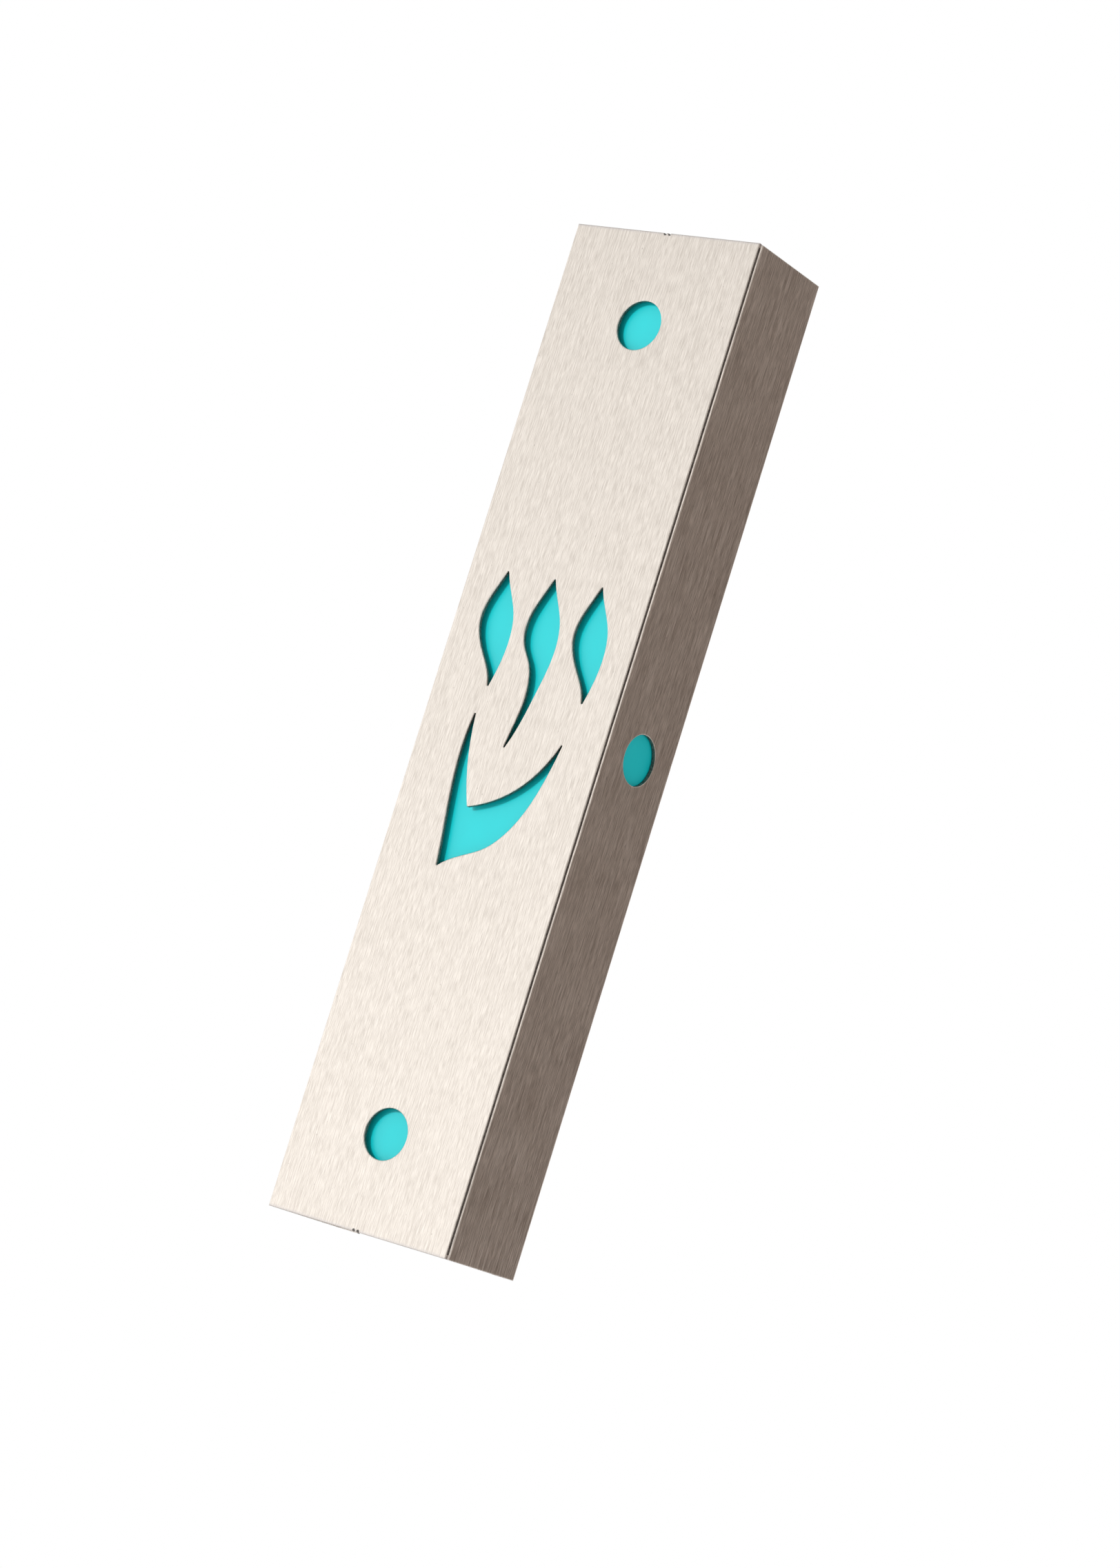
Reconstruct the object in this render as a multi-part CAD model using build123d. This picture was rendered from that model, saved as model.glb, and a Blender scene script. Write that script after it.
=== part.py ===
from build123d import *
from math import acos, atan2, cos, degrees, pi, radians, sin
import os

# A slide-on mezuzah case. Millimetres, +Z up along the case, the front faces -Y.
# The origin is the middle of the back plate's rear face, which lies on the doorpost.

# Driving dimensions
case_length = 120.0
case_width = 26.2
case_depth = 13.8            # front plate to rear lips
wall_gap = 0.3               # keeps the sliding case off the doorpost
steel_sheet = 0.45           # front plate and folded body
steel_bend = 0.5             # outside radius of the body's folds
lip_width = 3.0
seam = 0.05                  # between the folded top end and the sides
end_inset = 11.4             # round holes and screws, from each end
round_hole_radius = 3.0
side_hole_depth = 7.2        # behind the front face

# Front plate details
edge_break = 0.06
arm_pitch = 6.85             # between the letter's three arms
middle_tip = -0.6            # the middle arm's tip, from the centre line
tip_radius = 0.1
tab_notch_radius = 0.17
tab_notch_spacing = 0.62
window_half_width = 10.7
window_low = -19.0
window_high = 19.0
window_corner = 2.0
rear_hole_radius = 4.0

# Turquoise liner
liner_sheet = 0.5
liner_bend = 1.0
liner_gap = 0.1
liner_foot_gap = 0.3
liner_head_gap = 0.15

# Back plate
back_sheet = 0.8
back_bend = 1.0
slide_gap = 0.2
wing_side_gap = 0.35
web_half_width = 8.35
stop_gap = 0.05
shelf_recess = 0.1
shelf_side_gap = 0.35
shelf_front_gap = 0.25
shelf_neck_half_width = 7.4
wing_foot_gap = 2.0
screw_hole_radius = 2.0

# Scroll, its clear wrap and the clips that hold it
scroll_radius = 3.85
scroll_core_radius = 1.5
scroll_length = 80.0
parchment = 0.35
roll_pitch = 0.47
points_per_turn = 12
wrap_sheet = 0.12
wrap_gap = 0.03
wrap_length = 84.0
clip_sheet = 0.4
clip_gap = 0.05
clip_height = 8.0
clip_level = 25.0            # above and below the middle
clip_foot_half = 2.4
clip_mouth_angle = -38.0
clip_flare_angle = -56.0
clip_flare = 1.3
rivet_radius = 1.2
rivet_head_radius = 1.9
rivet_head_height = 0.5
rivet_head_round = 0.3
rivet_hole_gap = 0.05
head_gap = 0.4               # from a rivet's head to the wrap

# Bonding tape
tape_width = 7.0
tape_length = 40.0
tape_clearance = 8.0         # from the middle, clear of the side hole

# Levels worked out from the driving dimensions
half_width = case_width / 2
top = case_length / 2
bottom = -top
lip_rear = -wall_gap
front = lip_rear - case_depth
web_front = front + steel_sheet
inside_side = half_width - steel_sheet
liner_half = inside_side - liner_gap
liner_front = web_front + steel_sheet + liner_gap
lip_front = lip_rear - steel_sheet
wing_rear = lip_front - slide_gap
wing_front = wing_rear - back_sheet
liner_rear = wing_front - slide_gap
hole_level = top - end_inset
side_hole_y = front + side_hole_depth
flap_under = top - steel_sheet
fold_start = top - steel_bend
wrap_outside = scroll_radius + wrap_gap + wrap_sheet
scroll_y = -back_sheet - clip_sheet - rivet_head_height - head_gap - wrap_outside


def left_of(start, end):
    """Unit normal to the left of the run from start to end."""
    run = (Vector(*end) - Vector(*start)).normalized()
    return Vector(-run.Y, run.X)


def bent_sheet(points, thickness, radius):
    """Section of a folded sheet whose one face follows points and whose body lies to the left."""
    normals = [left_of(a, b) for a, b in zip(points, points[1:])]
    padded = [normals[0]] + normals + [normals[-1]]
    other_side = []
    for point, before, after in zip(points, padded, padded[1:]):
        mitre = thickness / (1 + before.dot(after))
        other_side.append(Vector(*point) + (before + after) * mitre)
    near_radii, far_radii = [], []
    for before, after in zip(normals, normals[1:]):
        turns_left = before.X * after.Y - before.Y * after.X > 0
        near_radii.append(radius if turns_left else radius - thickness)
        far_radii.append(radius - thickness if turns_left else radius)
    near = FilletPolyline(*points, radius=near_radii)
    far = FilletPolyline(*other_side, radius=far_radii)
    return make_face(near.edges() + far.edges() + [Line(near @ 0, far @ 0), Line(near @ 1, far @ 1)])


def upright(section, low, high):
    """Section in X and Y, drawn out between two heights."""
    return Pos(0, 0, low) * extrude(section, high - low)


def block(x_low, x_high, y_low, y_high, z_low, z_high):
    """Plain block between its corners."""
    size = (x_high - x_low, y_high - y_low, z_high - z_low)
    centre = ((x_high + x_low) / 2, (y_high + y_low) / 2, (z_high + z_low) / 2)
    return Pos(*centre) * Box(*size)


def across(profile, half):
    """Section in Y and Z, drawn out from -half to +half along X."""
    return extrude(Plane.YZ * profile, half, both=True)


def through_front(outline):
    """Cutter that takes an outline in X and Z through the front sheets."""
    depth = 2 * (steel_sheet + edge_break)
    return extrude(Plane.XZ * outline, depth / 2, both=True)


def arm(x):
    """Short outer arm of the letter: a flame with a waisted left side, its tip at x."""
    tip, foot = (x, 17.65), (x + 2.05, 3.5)
    right = Spline(tip, (x + 1.05, 15.4), (x + 2.5, 12.7), (x + 3.05, 9.8), (x + 2.65, 5.8), foot)
    left = Spline(foot, (x + 1.35, 5.5), (x - 0.65, 8.3), (x - 1.9, 11.5), (x - 1.0, 15.3), tip)
    return make_face(right.edges() + left.edges())


def long_arm(x):
    """Middle arm: the same flame, drawn down into a tail."""
    tip, foot = (x, 17.65), (x - 0.05, -3.4)
    crest, waist = [(x + 1.05, 15.4), (x + 2.45, 12.7), (x + 3.0, 9.8)], [(x + 0.85, 4.4), (x - 0.1, 7.4)]
    right = Spline(tip, *crest, (x + 2.2, 4.0), (x + 1.0, -0.8), foot)
    left = Spline(foot, (x + 0.6, 0.2), *waist, (x - 1.4, 9.2), (x - 2.0, 11.6), (x - 1.0, 15.3), tip)
    return make_face(right.edges() + left.edges())


def bowl():
    """Slanting base stroke of the letter, from its upright left end to its right tip."""
    left_tip, low_tip = (-5.85, 1.1), (-4.7, -17.75)
    right_tip, inner_corner = (7.7, -0.2), (-3.0, -10.35)
    edges = [
        Spline(left_tip, (-6.3, -5.5), (-5.6, -11.5), low_tip),
        Spline(low_tip, (-1.9, -16.05), (1.4, -14.45), (2.7, -13.3), (6.6, -5.4), right_tip),
        Spline(right_tip, (3.1, -7.25), inner_corner),
        Spline(inner_corner, (-4.75, -5.6), left_tip),
    ]
    return make_face(edges)


def letter():
    """The four stencil openings of the letter shin."""
    strokes = [arm(middle_tip - arm_pitch), long_arm(middle_tip), arm(middle_tip + arm_pitch), bowl()]
    return [fillet(stroke.vertices(), tip_radius) for stroke in strokes]


def make_front_plate():
    plate = block(-half_width, half_width, front, web_front, bottom, top)
    openings = letter()
    openings += [Pos(0, level) * Circle(round_hole_radius) for level in (-hole_level, hole_level)]
    for level in (bottom, top):
        for x in (-tab_notch_spacing / 2, tab_notch_spacing / 2):
            openings.append(Pos(x, level) * Circle(tab_notch_radius))
    for opening in openings:
        plate -= Pos(0, front + steel_sheet / 2) * through_front(opening)
    front_face = plate.faces().sort_by(Axis.Y)[0]
    return chamfer(front_face.edges(), edge_break)


def make_outer_body():
    """One sheet folded into the web behind the front plate, the sides, the rear lips and the top."""
    lip_end = half_width - lip_width
    section = bent_sheet(
        [
            (-lip_end, lip_rear),
            (-half_width, lip_rear),
            (-half_width, web_front),
            (half_width, web_front),
            (half_width, lip_rear),
            (lip_end, lip_rear),
        ],
        steel_sheet,
        steel_bend,
    )
    body = upright(section, bottom, top)
    body -= block(-inside_side, inside_side, front, web_front + steel_bend, fold_start, top)
    body += top_end()
    window = RectangleRounded(2 * window_half_width, window_high - window_low, window_corner)
    openings = [Pos(0, (window_high + window_low) / 2) * window]
    openings += [Pos(0, level) * Circle(rear_hole_radius) for level in (-hole_level, hole_level)]
    for opening in openings:
        body -= Pos(0, web_front + steel_sheet / 2) * through_front(opening)
    return body - side_holes()


def top_end():
    """The web's top, folded back between the sides to the rear lips."""
    rear = lip_front - seam
    profile = bent_sheet(
        [(rear, top), (web_front, top), (web_front, fold_start - steel_bend)],
        steel_sheet,
        steel_bend,
    )
    return across(profile, inside_side - seam)


def side_holes():
    """The hole at mid-length through both sides of the folded body."""
    drill = Pos(0, side_hole_y, 0) * Rot(0, 90, 0) * Cylinder(round_hole_radius, case_width + 2)
    return drill - block(-liner_half, liner_half, front, lip_rear, -end_inset, end_inset)


def make_liner():
    section = bent_sheet(
        [
            (-liner_half, liner_rear),
            (-liner_half, liner_front),
            (liner_half, liner_front),
            (liner_half, liner_rear),
        ],
        liner_sheet,
        liner_bend,
    )
    return upright(section, bottom + liner_foot_gap, flap_under - liner_head_gap)


def make_tape_strip(side, level):
    """Strip of tape that bonds the liner to one side of the body, above or below the side hole."""
    inner, outer = sorted((side * liner_half, side * inside_side))
    low, high = sorted((level * tape_clearance, level * (tape_clearance + tape_length)))
    y_low = side_hole_y - tape_width / 2
    return block(inner, outer, y_low, y_low + tape_width, low, high)


def make_back_plate():
    wing_tip = inside_side - wing_side_gap
    joggle = web_half_width - wing_rear
    section = bent_sheet(
        [
            (wing_tip, wing_rear),
            (joggle, wing_rear),
            (web_half_width, 0),
            (-web_half_width, 0),
            (-joggle, wing_rear),
            (-wing_tip, wing_rear),
        ],
        back_sheet,
        back_bend,
    )
    plate = upright(section, bottom + wing_foot_gap, flap_under - stop_gap)
    shelf_low = bottom + shelf_recess
    shelf_front = liner_front + liner_sheet + shelf_front_gap
    shelf_half = liner_half - liner_sheet - shelf_side_gap
    fold = bent_sheet(
        [(shelf_front, shelf_low), (0, shelf_low), (0, bottom + 2 * wing_foot_gap)],
        back_sheet,
        back_bend,
    )
    plate += across(fold, shelf_neck_half_width)
    shelf = (-shelf_half, shelf_half, shelf_front, liner_rear, shelf_low, shelf_low + back_sheet)
    plate += block(*shelf)
    for level in (-hole_level, hole_level):
        plate -= Pos(0, 0, level) * Rot(90, 0, 0) * Cylinder(screw_hole_radius, 4 * back_sheet)
    for level in (-clip_level, clip_level):
        plate -= rivet_hole(level)
    return plate


def rivet_hole(level):
    """Cutter for a clip rivet's hole at one height."""
    return Pos(0, 0, level) * Rot(90, 0, 0) * Cylinder(rivet_radius + rivet_hole_gap, 4 * back_sheet)


def strip(start, end):
    """Straight run of clip strip, with rounded ends."""
    run = Vector(*end) - Vector(*start)
    middle = (Vector(*end) + Vector(*start)) * 0.5
    slot = SlotCenterToCenter(run.length, clip_sheet)
    return Pos(middle.X, middle.Y) * Rot(0, 0, degrees(atan2(run.Y, run.X))) * slot


def make_clip(level):
    """Spring clip: a flat foot, two arms that hug the scroll and a flared mouth."""
    radius = wrap_outside + clip_gap + clip_sheet / 2
    foot_y = -back_sheet - clip_sheet / 2
    foot = Vector(clip_foot_half, foot_y)
    from_centre = foot - Vector(0, scroll_y)
    spread = atan2(from_centre.Y, from_centre.X) - acos(radius / from_centre.length)
    touch = Vector(radius * cos(spread), scroll_y + radius * sin(spread))
    mouth = radians(clip_mouth_angle)
    lip = Vector(radius * cos(mouth), scroll_y + radius * sin(mouth))
    outwards = radians(clip_flare_angle)
    flare = lip + Vector(cos(outwards), sin(outwards)) * clip_flare
    sweep = degrees(spread) - clip_mouth_angle
    ring = Circle(radius + clip_sheet / 2) - Circle(radius - clip_sheet / 2)
    reach = 2 * radius
    far_corner = (reach * cos(radians(sweep)), reach * sin(radians(sweep)))
    wedge = make_face(Polyline((0, 0), (reach, 0), far_corner, close=True).edges())
    side = Pos(0, scroll_y) * (ring & (Rot(0, 0, clip_mouth_angle) * wedge))
    side += strip(foot, touch) + strip(lip, flare)
    section = side + mirror(side, Plane.YZ) + strip((-clip_foot_half, foot_y), foot)
    clip = upright(section, level - clip_height / 2, level + clip_height / 2)
    return clip - rivet_hole(level)


def make_rivet(level):
    """Flat-headed rivet that holds one clip, flush at the back."""
    head_base = -back_sheet - clip_sheet
    shank_length = -head_base - rivet_hole_gap
    shank = Pos(0, head_base + shank_length / 2, level) * Rot(90, 0, 0)
    head = Pos(0, head_base - rivet_head_height / 2, level) * Rot(90, 0, 0)
    dome = head * Cylinder(rivet_head_radius, rivet_head_height)
    dome = fillet(dome.edges().sort_by(Axis.Y)[0], rivet_head_round)
    return shank * Cylinder(rivet_radius, shank_length) + dome


def make_scroll():
    """Parchment rolled as an even spiral."""
    turns = (scroll_radius - parchment - scroll_core_radius) / roll_pitch
    steps = round(turns * points_per_turn)

    def roll(offset):
        points = []
        for step in range(steps + 1):
            angle = 2 * pi * turns * step / steps
            radius = scroll_core_radius + offset + roll_pitch * angle / (2 * pi)
            points.append((radius * cos(angle), radius * sin(angle)))
        return Spline(*points)

    inner, outer = roll(0), roll(parchment)
    face = make_face([inner, outer, Line(inner @ 0, outer @ 0), Line(inner @ 1, outer @ 1)])
    return Pos(0, scroll_y) * upright(face, -scroll_length / 2, scroll_length / 2)


def make_wrap():
    """Clear film sleeve round the scroll."""
    ring = Circle(wrap_outside) - Circle(wrap_outside - wrap_sheet)
    return Pos(0, scroll_y) * upright(ring, -wrap_length / 2, wrap_length / 2)


nodes = {
    "front_plate": make_front_plate(),
    "outer_body": make_outer_body(),
    "colour_liner": make_liner(),
    "back_plate": make_back_plate(),
    "parchment_scroll": make_scroll(),
    "scroll_wrap": make_wrap(),
}
for height, way_up in (("upper", 1), ("lower", -1)):
    nodes[f"{height}_scroll_clip"] = make_clip(way_up * clip_level)
    nodes[f"{height}_clip_rivet"] = make_rivet(way_up * clip_level)
    for side, way_across in (("left", -1), ("right", 1)):
        nodes[f"{height}_{side}_tape"] = make_tape_strip(way_across, way_up)

os.makedirs("parts", exist_ok=True)
for name, shape in nodes.items():
    export_step(shape, f"parts/{name}.step")
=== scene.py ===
from math import cos, radians, sin, tau

import bpy
from mathutils import Euler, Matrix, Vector


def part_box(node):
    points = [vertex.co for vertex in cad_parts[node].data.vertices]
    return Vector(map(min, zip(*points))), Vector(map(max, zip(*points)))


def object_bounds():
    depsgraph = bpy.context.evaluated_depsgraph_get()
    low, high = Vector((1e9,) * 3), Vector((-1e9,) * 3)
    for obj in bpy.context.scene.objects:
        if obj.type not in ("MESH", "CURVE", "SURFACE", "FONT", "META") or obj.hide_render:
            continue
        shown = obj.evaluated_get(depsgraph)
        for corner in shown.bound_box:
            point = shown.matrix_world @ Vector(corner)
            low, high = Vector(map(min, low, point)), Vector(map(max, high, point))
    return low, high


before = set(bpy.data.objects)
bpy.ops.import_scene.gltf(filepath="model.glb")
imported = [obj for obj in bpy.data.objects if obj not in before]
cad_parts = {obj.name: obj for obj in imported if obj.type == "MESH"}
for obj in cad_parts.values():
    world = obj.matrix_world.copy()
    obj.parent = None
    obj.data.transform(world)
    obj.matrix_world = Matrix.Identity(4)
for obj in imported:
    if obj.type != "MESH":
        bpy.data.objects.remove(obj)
cad_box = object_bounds()

# The camera stands low, in front of the case's right side, and rolls the case to the right.
CAMERA_PLACE = (0.2874, -0.3811, -0.0627)
CAMERA_TURN = (97.395, -17.138, 35.013)      # degrees about X, Y and Z
LENS_MM = 94.96
CAMERA_NEAR = 0.01

# Places on the case that its edge finishes and its painted shade need, in metres.
HOLE_RADIUS = 0.003
PLATE_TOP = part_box("front_plate")[1].z
PLATE_RIM = 0.0005                           # the plate's end edges, which keep the brushed look
LIP_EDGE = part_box("outer_body")[1].x - 0.001
SIDE_HOLE_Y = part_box("front_plate")[0].y + 0.0072
TAB_HALF = 0.00031                           # from the middle of the plate to the painted shade of each tab notch
# size of the painted shade at each tab notch, in metres
NOTCH_SHADE_SIZE = 0.00024
EDGE_ROUND = 0.00018                         # wear on the steel's edges

# Sizes of the features of the brushed grain along X, Y and Z, in metres.
SCRATCH = (0.00010, 0.00010, 0.0015)
STREAK = (0.00017, 0.00017, 0.0062)
CLOUD = (0.0020, 0.0020, 0.0110)
PIT = (0.0003, 0.0003, 0.0006)
SCRATCH_DEPTH = 0.000005
STREAK_DEPTH = 0.000008

# Colours, as linear red, green and blue. A pair is the darkest and the lightest.
FRONT_STEEL = ((0.645, 0.588, 0.528), (0.92, 0.855, 0.782))
BODY_STEEL = ((0.585, 0.523, 0.469), (0.985, 0.90, 0.82))
PLAIN_STEEL = ((0.50, 0.49, 0.47), (0.62, 0.61, 0.59))
SPRING_STEEL = ((0.46, 0.47, 0.48), (0.56, 0.57, 0.58))
RIVET_METAL = ((0.72, 0.72, 0.73), (0.80, 0.80, 0.81))
STEEL_PIT = (0.35, 0.31, 0.28)
# Dull cut edges: steel oxide, and painted shade in the walls of the openings.
CUT_EDGE_AND_SHADE = ((0.10, 0.09, 0.08), (0.30, 0.27, 0.24))
BURR = (0.60, 0.57, 0.57)
# Painted shade at the tab notches.
NOTCH_SHADE_COLOUR = (0.05, 0.045, 0.04)
TURQUOISE = ((0.001, 0.54, 0.575), (0.002, 0.56, 0.59))
TAPE = ((0.80, 0.80, 0.78), (0.85, 0.85, 0.83))
PARCHMENT = ((0.34, 0.235, 0.13), (0.50, 0.385, 0.245))
HAIR_SPECK = (0.33, 0.21, 0.11)
FILM = (0.72, 0.75, 0.77, 1)
FLOOR = (0.9, 0.9, 0.9, 1)
WHITE = (1, 1, 1, 1)


# ---------------------------------------------------------------- node helpers

def new_material(name):
    """Node material, its tree and its principled shader."""
    material = bpy.data.materials.new(name)
    material.use_nodes = True
    tree = material.node_tree
    return material, tree, tree.nodes["Principled BSDF"]


def feed(tree, value, socket):
    """Links an output to a socket, or sets the socket's own value."""
    if isinstance(value, bpy.types.NodeSocket):
        tree.links.new(value, socket)
    else:
        socket.default_value = value


def maths(tree, operation, first, second=0.0):
    """Result of an operation on one or two values."""
    node = tree.nodes.new("ShaderNodeMath")
    node.operation = operation
    feed(tree, first, node.inputs[0])
    feed(tree, second, node.inputs[1])
    return node.outputs[0]


def add_shares(tree, *shares):
    """Adds up values, each times its share."""
    parts = [maths(tree, "MULTIPLY", value, share) for value, share in shares]
    total = parts[0]
    for part in parts[1:]:
        total = maths(tree, "ADD", total, part)
    return total


def diagonal(tree, first, second):
    """Length of the diagonal of two lengths."""
    squares = [maths(tree, "MULTIPLY", length, length) for length in (first, second)]
    return maths(tree, "SQRT", maths(tree, "ADD", *squares))


def remap(tree, value, low, high, low_out, high_out, smooth=False):
    """Moves a value from one range to another, held within it."""
    node = tree.nodes.new("ShaderNodeMapRange")
    node.interpolation_type = "SMOOTHSTEP" if smooth else "LINEAR"
    limits = {"From Min": low, "From Max": high, "To Min": low_out, "To Max": high_out}
    for socket, number in limits.items():
        feed(tree, number, node.inputs[socket])
    feed(tree, value, node.inputs["Value"])
    return node.outputs["Result"]


def blend_colour(tree, factor, first, second):
    """Blend of two colours."""
    node = tree.nodes.new("ShaderNodeMix")
    node.data_type = "RGBA"
    feed(tree, factor, node.inputs["Factor"])
    for value, socket in ((first, node.inputs[6]), (second, node.inputs[7])):
        feed(tree, (*value, 1) if isinstance(value, tuple) else value, socket)
    return node.outputs[2]


def blend_value(tree, factor, first, second):
    """Blend of two values."""
    node = tree.nodes.new("ShaderNodeMix")
    feed(tree, factor, node.inputs["Factor"])
    feed(tree, first, node.inputs[2])
    feed(tree, second, node.inputs[3])
    return node.outputs[0]


def object_place(tree):
    """Place on the case, in metres."""
    return tree.nodes.new("ShaderNodeTexCoord").outputs["Object"]


def axes_of(tree, vector):
    """Parts of a vector along X, Y and Z."""
    node = tree.nodes.new("ShaderNodeSeparateXYZ")
    feed(tree, vector, node.inputs[0])
    return node.outputs


def surface_normal(tree):
    """Parts of the surface's own direction along X, Y and Z."""
    return axes_of(tree, tree.nodes.new("ShaderNodeNewGeometry").outputs["Normal"])


def noise(tree, feature, detail=2.0, roughness=0.5, seed=0.0):
    """Noise whose features measure the given sizes along X, Y and Z, in metres."""
    mapping = tree.nodes.new("ShaderNodeMapping")
    mapping.inputs["Scale"].default_value = [1 / size for size in feature]
    mapping.inputs["Location"].default_value = (seed, seed, seed)
    feed(tree, object_place(tree), mapping.inputs["Vector"])
    texture = tree.nodes.new("ShaderNodeTexNoise")
    texture.inputs["Scale"].default_value = 1.0
    texture.inputs["Detail"].default_value = detail
    texture.inputs["Roughness"].default_value = roughness
    feed(tree, mapping.outputs["Vector"], texture.inputs["Vector"])
    return texture.outputs["Fac"]


def rounded(tree, radius):
    """Surface direction with the sharp edges worn round."""
    node = tree.nodes.new("ShaderNodeBevel")
    node.samples = 6
    node.inputs["Radius"].default_value = radius
    return node.outputs["Normal"]


def bump(tree, height, strength, depth, under=None):
    """Bump up to a depth in metres, over another surface direction if one is given."""
    node = tree.nodes.new("ShaderNodeBump")
    node.inputs["Strength"].default_value = strength
    node.inputs["Distance"].default_value = depth
    feed(tree, height, node.inputs["Height"])
    if under:
        feed(tree, under, node.inputs["Normal"])
    return node.outputs["Normal"]


# ---------------------------------------------------------------- materials

def brushed_steel(name, dark, light, rough_low, rough_high, finish_edges=None, seed=0.0):
    """Steel brushed along the case.

    finish_edges(tree, colour, rough) gives its edges a look of their own, painted shade included.
    """
    material, tree, shader = new_material(name)
    scratch = noise(tree, SCRATCH, 2.0, 0.6, seed)
    streak = noise(tree, STREAK, 2.0, 0.6, seed + 5)
    cloud = noise(tree, CLOUD, 3.0, 0.55, seed + 9)
    tone = add_shares(tree, (scratch, 0.5), (streak, 0.44), (cloud, 0.06))
    pits = remap(tree, noise(tree, PIT, 1.0, 0.5, seed + 17), 0.74, 0.80, 0, 0.5)
    colour = blend_colour(tree, remap(tree, tone, 0.41, 0.59, 0, 1), dark, light)
    colour = blend_colour(tree, pits, colour, STEEL_PIT)
    rough = remap(tree, streak, 0.3, 0.7, rough_low, rough_high)
    if finish_edges:
        colour, rough = finish_edges(tree, colour, rough)
    shader.inputs["Metallic"].default_value = 1.0
    shader.inputs["Anisotropic"].default_value = 0.7
    feed(tree, colour, shader.inputs["Base Color"])
    feed(tree, rough, shader.inputs["Roughness"])
    tangent = tree.nodes.new("ShaderNodeTangent")
    tangent.direction_type = "RADIAL"
    tangent.axis = "Z"
    feed(tree, tangent.outputs["Tangent"], shader.inputs["Tangent"])
    broad = bump(tree, streak, 0.4, STREAK_DEPTH, rounded(tree, EDGE_ROUND))
    feed(tree, bump(tree, scratch, 0.5, SCRATCH_DEPTH, broad), shader.inputs["Normal"])
    return material


def cut_edge_and_shade(tree, mask, colour, rough):
    """Darkens a surface to a dull laser-cut edge where the mask is 1; in the walls of the openings
    this dark colour is also painted shade.
    """
    burr = noise(tree, (0.00025, 0.00025, 0.00025), 3.0, 0.6, 13)
    edge_and_shade = blend_colour(tree, remap(tree, burr, 0.3, 0.7, 0, 1), *CUT_EDGE_AND_SHADE)
    return blend_colour(tree, mask, colour, edge_and_shade), blend_value(tree, mask, rough, 0.5)


def plate_edges(tree, colour, rough):
    """Front plate: dull cut edges, painted shade in the walls of its openings, and by its top and
    bottom edges burrs and painted shade at the tab notches.
    """
    x, y, z = axes_of(tree, object_place(tree))
    facing = maths(tree, "ABSOLUTE", surface_normal(tree)[1])
    level = maths(tree, "ABSOLUTE", z)
    burr = noise(tree, (0.0002, 0.0002, 0.0003), 3.0, 0.7, 31)
    fray = maths(tree, "ADD", level, maths(tree, "MULTIPLY", burr, 0.0006))
    rim = remap(tree, fray, PLATE_TOP - 0.0001, PLATE_TOP + 0.0002, 0, 0.45, smooth=True)
    colour = blend_colour(tree, rim, colour, BURR)
    # Dark spots at the tab notches: painted shade of the notches.
    across = maths(tree, "SUBTRACT", maths(tree, "ABSOLUTE", x), TAB_HALF)
    away = maths(tree, "SUBTRACT", PLATE_TOP - NOTCH_SHADE_SIZE / 2, level)
    notch_shade = remap(tree, diagonal(tree, across, away), NOTCH_SHADE_SIZE * 0.55, NOTCH_SHADE_SIZE * 1.05, 0.85, 0,
                 smooth=True)
    colour = blend_colour(tree, notch_shade, colour, NOTCH_SHADE_COLOUR)
    # Cut edges below the rim band: dull oxide, and painted shade in the walls of the openings.
    cut_and_shade = maths(tree, "MULTIPLY", remap(tree, facing, 0.25, 0.6, 1, 0, smooth=True),
                maths(tree, "LESS_THAN", level, PLATE_TOP - PLATE_RIM))
    return cut_edge_and_shade(tree, cut_and_shade, colour, rough)


def body_edges(tree, colour, rough):
    """Body: dull cut edges in its side holes, at its foot and along its rear lips; in the side
    holes the dark is also painted shade.
    """
    x, y, z = axes_of(tree, object_place(tree))
    facing = surface_normal(tree)
    sideways = maths(tree, "ABSOLUTE", facing[0])
    inboard = maths(tree, "ABSOLUTE", x)
    reach = diagonal(tree, maths(tree, "SUBTRACT", y, SIDE_HOLE_Y), z)
    # Walls of the side holes: dull cut edge, and painted shade.
    hole_wall = maths(tree, "MULTIPLY", maths(tree, "LESS_THAN", sideways, 0.5),
                      maths(tree, "LESS_THAN", reach, HOLE_RADIUS + 0.0001))
    lip_edge = maths(tree, "MULTIPLY", maths(tree, "GREATER_THAN", sideways, 0.5),
                     maths(tree, "LESS_THAN", inboard, LIP_EDGE))
    foot = maths(tree, "LESS_THAN", facing[2], -0.5)
    mask = maths(tree, "MAXIMUM", maths(tree, "MAXIMUM", hole_wall, lip_edge), foot)
    return cut_edge_and_shade(tree, mask, colour, rough)


def painted(name, dark, light, rough, seed=0.0, gloss=0.5):
    """Satin paint: a slight cloud in its colour and a fine grain."""
    material, tree, shader = new_material(name)
    cloud = noise(tree, (0.004, 0.004, 0.006), 3.0, 0.5, seed)
    grain = noise(tree, (0.00016, 0.00016, 0.00016), 2.0, 0.5, seed + 3)
    colour = blend_colour(tree, remap(tree, cloud, 0.3, 0.7, 0, 1), dark, light)
    feed(tree, colour, shader.inputs["Base Color"])
    feed(tree, remap(tree, cloud, 0.3, 0.7, rough, rough + 0.08), shader.inputs["Roughness"])
    shader.inputs["Specular IOR Level"].default_value = gloss
    feed(tree, bump(tree, grain, 0.4, 0.000003), shader.inputs["Normal"])
    return material


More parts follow.
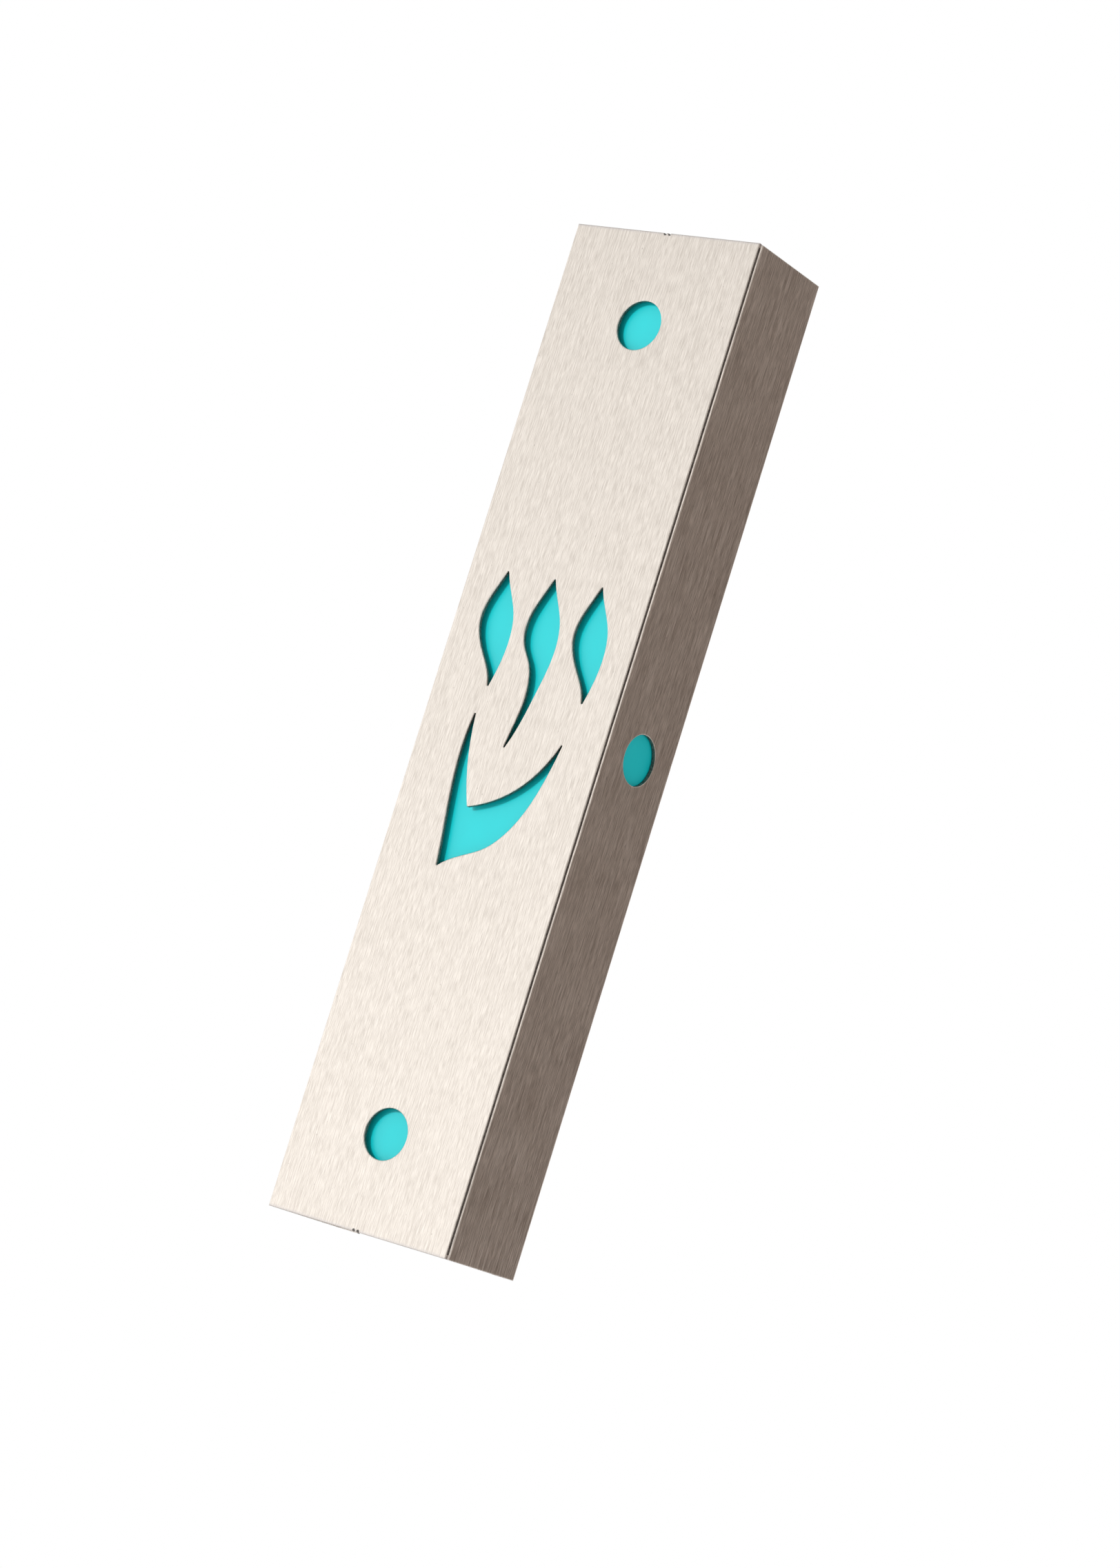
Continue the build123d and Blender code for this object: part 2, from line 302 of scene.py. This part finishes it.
def parchment(name, dark, light):
    """Mottled skin with fine fibres and the specks of its hair side."""
    material, tree, shader = new_material(name)
    mottle = noise(tree, (0.0030, 0.0030, 0.0045), 4.0, 0.6, 11)
    fibre = noise(tree, (0.00020, 0.00020, 0.00035), 3.0, 0.65, 23)
    pores = noise(tree, (0.00045, 0.00045, 0.00045), 1.0, 0.5, 29)
    tone = add_shares(tree, (mottle, 0.65), (fibre, 0.35))
    colour = blend_colour(tree, remap(tree, tone, 0.38, 0.62, 0, 1), dark, light)
    colour = blend_colour(tree, remap(tree, pores, 0.64, 0.72, 0, 0.35), colour, HAIR_SPECK)
    feed(tree, colour, shader.inputs["Base Color"])
    feed(tree, remap(tree, mottle, 0.3, 0.7, 0.55, 0.75), shader.inputs["Roughness"])
    broad = bump(tree, mottle, 0.4, 0.0001)
    feed(tree, bump(tree, fibre, 0.5, 0.00002, broad), shader.inputs["Normal"])
    return material


def clear_film(name):
    """Thin clear sleeve with slight creases."""
    material, tree, shader = new_material(name)
    crease = noise(tree, (0.002, 0.002, 0.006), 3.0, 0.6)
    shader.inputs["Base Color"].default_value = FILM
    shader.inputs["Alpha"].default_value = 0.2
    feed(tree, remap(tree, crease, 0.3, 0.7, 0.04, 0.14), shader.inputs["Roughness"])
    feed(tree, bump(tree, crease, 0.5, 0.0001), shader.inputs["Normal"])
    return material


def dress(material, *nodes):
    """Gives CAD nodes their material."""
    for node in nodes:
        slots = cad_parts[node].data.materials
        slots.clear()
        slots.append(material)


def dress_case():
    """Gives every piece of the case its material."""
    dress(brushed_steel("front_steel", *FRONT_STEEL, 0.30, 0.42, plate_edges), "front_plate")
    dress(brushed_steel("body_steel", *BODY_STEEL, 0.28, 0.40, body_edges, seed=20), "outer_body")
    dress(painted("turquoise_paint", *TURQUOISE, 0.30, gloss=0.62), "colour_liner")
    dress(brushed_steel("plain_steel", *PLAIN_STEEL, 0.35, 0.5, seed=40), "back_plate")
    dress(brushed_steel("spring_steel", *SPRING_STEEL, 0.2, 0.3, seed=60),
          "upper_scroll_clip", "lower_scroll_clip")
    dress(brushed_steel("rivet_metal", *RIVET_METAL, 0.3, 0.45, seed=80),
          "upper_clip_rivet", "lower_clip_rivet")
    dress(parchment("parchment", *PARCHMENT), "parchment_scroll")
    dress(painted("tape", *TAPE, 0.7, seed=17),
          *[f"{height}_{side}_tape" for height in ("upper", "lower") for side in ("left", "right")])
    dress(clear_film("clear_film"), "scroll_wrap")


# ---------------------------------------------------------------- floor, light and camera

# Radiance of the studio round the case and above it. One turns into the other between two
# heights, given as the sine of the elevation.
AMBIENT = (0.185, 0.146, 0.125)
OVERHEAD = (0.75, 0.75, 0.75)
OVERHEAD_HEIGHTS = (0.2, 0.9)

# Upright panels: azimuth from the front, inner and outer half-width, radiance at the horizon, and
# radiance at a height given as the sine of its elevation.
PANELS = [
    (-50, 28, 60, 1.46, 0.97, 0.35),
    (-112, 18, 42, 1.3, 1.05, 0.35),
    (75, 8, 24, 0.6, 2.15, 0.07),
    (192, 12, 30, 1.1, 1.1, 0.35),
]

# Lamps a metre from the middle of the case: azimuth from the front, elevation, diameter and watts.
LAMPS = {
    "key": (-19, 10, 0.16, 5.8),
    "fill": (95, 10, 0.30, 1.3),
}


def add_object(name, data):
    """New object in the scene."""
    item = bpy.data.objects.new(name, data)
    bpy.context.scene.collection.objects.link(item)
    return item


def add_floor():
    """Pale round floor, below the camera, because the case hangs on a doorpost."""
    floor_drop, radius, sides = 0.22, 1.4, 96
    level = cad_box[0][2] - floor_drop
    turns = [tau * side / sides for side in range(sides)]
    rim = [(radius * cos(turn), radius * sin(turn), level) for turn in turns]
    mesh = bpy.data.meshes.new("floor")
    mesh.from_pydata(rim, [], [range(sides)])
    material, tree, shader = new_material("floor")
    shader.inputs["Base Color"].default_value = FLOOR
    mesh.materials.append(material)
    floor = add_object("floor", mesh)


def add_lamp(name, azimuth, elevation, size, power):
    """Soft light. The steel shows the studio's panels instead of this light."""
    turn, rise = radians(azimuth), radians(elevation)
    place = Vector((sin(turn) * cos(rise), -cos(turn) * cos(rise), sin(rise)))
    lamp = bpy.data.lights.new(name, "AREA")
    lamp.shape = "DISK"
    lamp.size = size
    lamp.energy = power
    light = add_object(name, lamp)
    light.location = place
    light.rotation_euler = (-place).to_track_quat("-Z", "Y").to_euler()
    light.visible_glossy = False


def add_world():
    """Studio with upright light panels round the case, which the camera sees as plain white."""
    world = bpy.data.worlds.new("studio")
    bpy.context.scene.world = world
    world.use_nodes = True
    tree = world.node_tree
    background = tree.nodes["Background"]
    out = tree.nodes["World Output"]
    direction = tree.nodes.new("ShaderNodeTexCoord").outputs["Generated"]
    height = axes_of(tree, direction)[2]
    above = remap(tree, height, *OVERHEAD_HEIGHTS, 0, 1, smooth=True)
    light = blend_colour(tree, above, AMBIENT, OVERHEAD)
    for azimuth, inner, outer, low, high, level in PANELS:
        turn = radians(azimuth)
        towards = tree.nodes.new("ShaderNodeVectorMath")
        towards.operation = "DOT_PRODUCT"
        feed(tree, direction, towards.inputs[0])
        towards.inputs[1].default_value = (sin(turn), -cos(turn), 0)
        reach = cos(radians(outer)), cos(radians(inner))
        mask = remap(tree, towards.outputs["Value"], *reach, 0, 1, smooth=True)
        light = blend_colour(tree, mask, light, remap(tree, height, 0.0, level, low, high))
    feed(tree, light, background.inputs["Color"])
    shown = tree.nodes.new("ShaderNodeBackground")
    shown.inputs["Color"].default_value = WHITE
    mixer = tree.nodes.new("ShaderNodeMixShader")
    rays = tree.nodes.new("ShaderNodeLightPath")
    feed(tree, rays.outputs["Is Camera Ray"], mixer.inputs[0])
    feed(tree, background.outputs[0], mixer.inputs[1])
    feed(tree, shown.outputs[0], mixer.inputs[2])
    feed(tree, mixer.outputs[0], out.inputs["Surface"])


def add_camera():
    """The scene's camera."""
    lens = bpy.data.cameras.new("camera")
    lens.lens = LENS_MM
    lens.clip_start = CAMERA_NEAR
    camera = add_object("camera", lens)
    camera.location = CAMERA_PLACE
    camera.rotation_euler = Euler([radians(turn) for turn in CAMERA_TURN])
    bpy.context.scene.camera = camera


dress_case()
add_floor()
add_world()
for lamp_name, setting in LAMPS.items():
    add_lamp(lamp_name, *setting)
add_camera()
bpy.context.scene.view_settings.view_transform = "Standard"
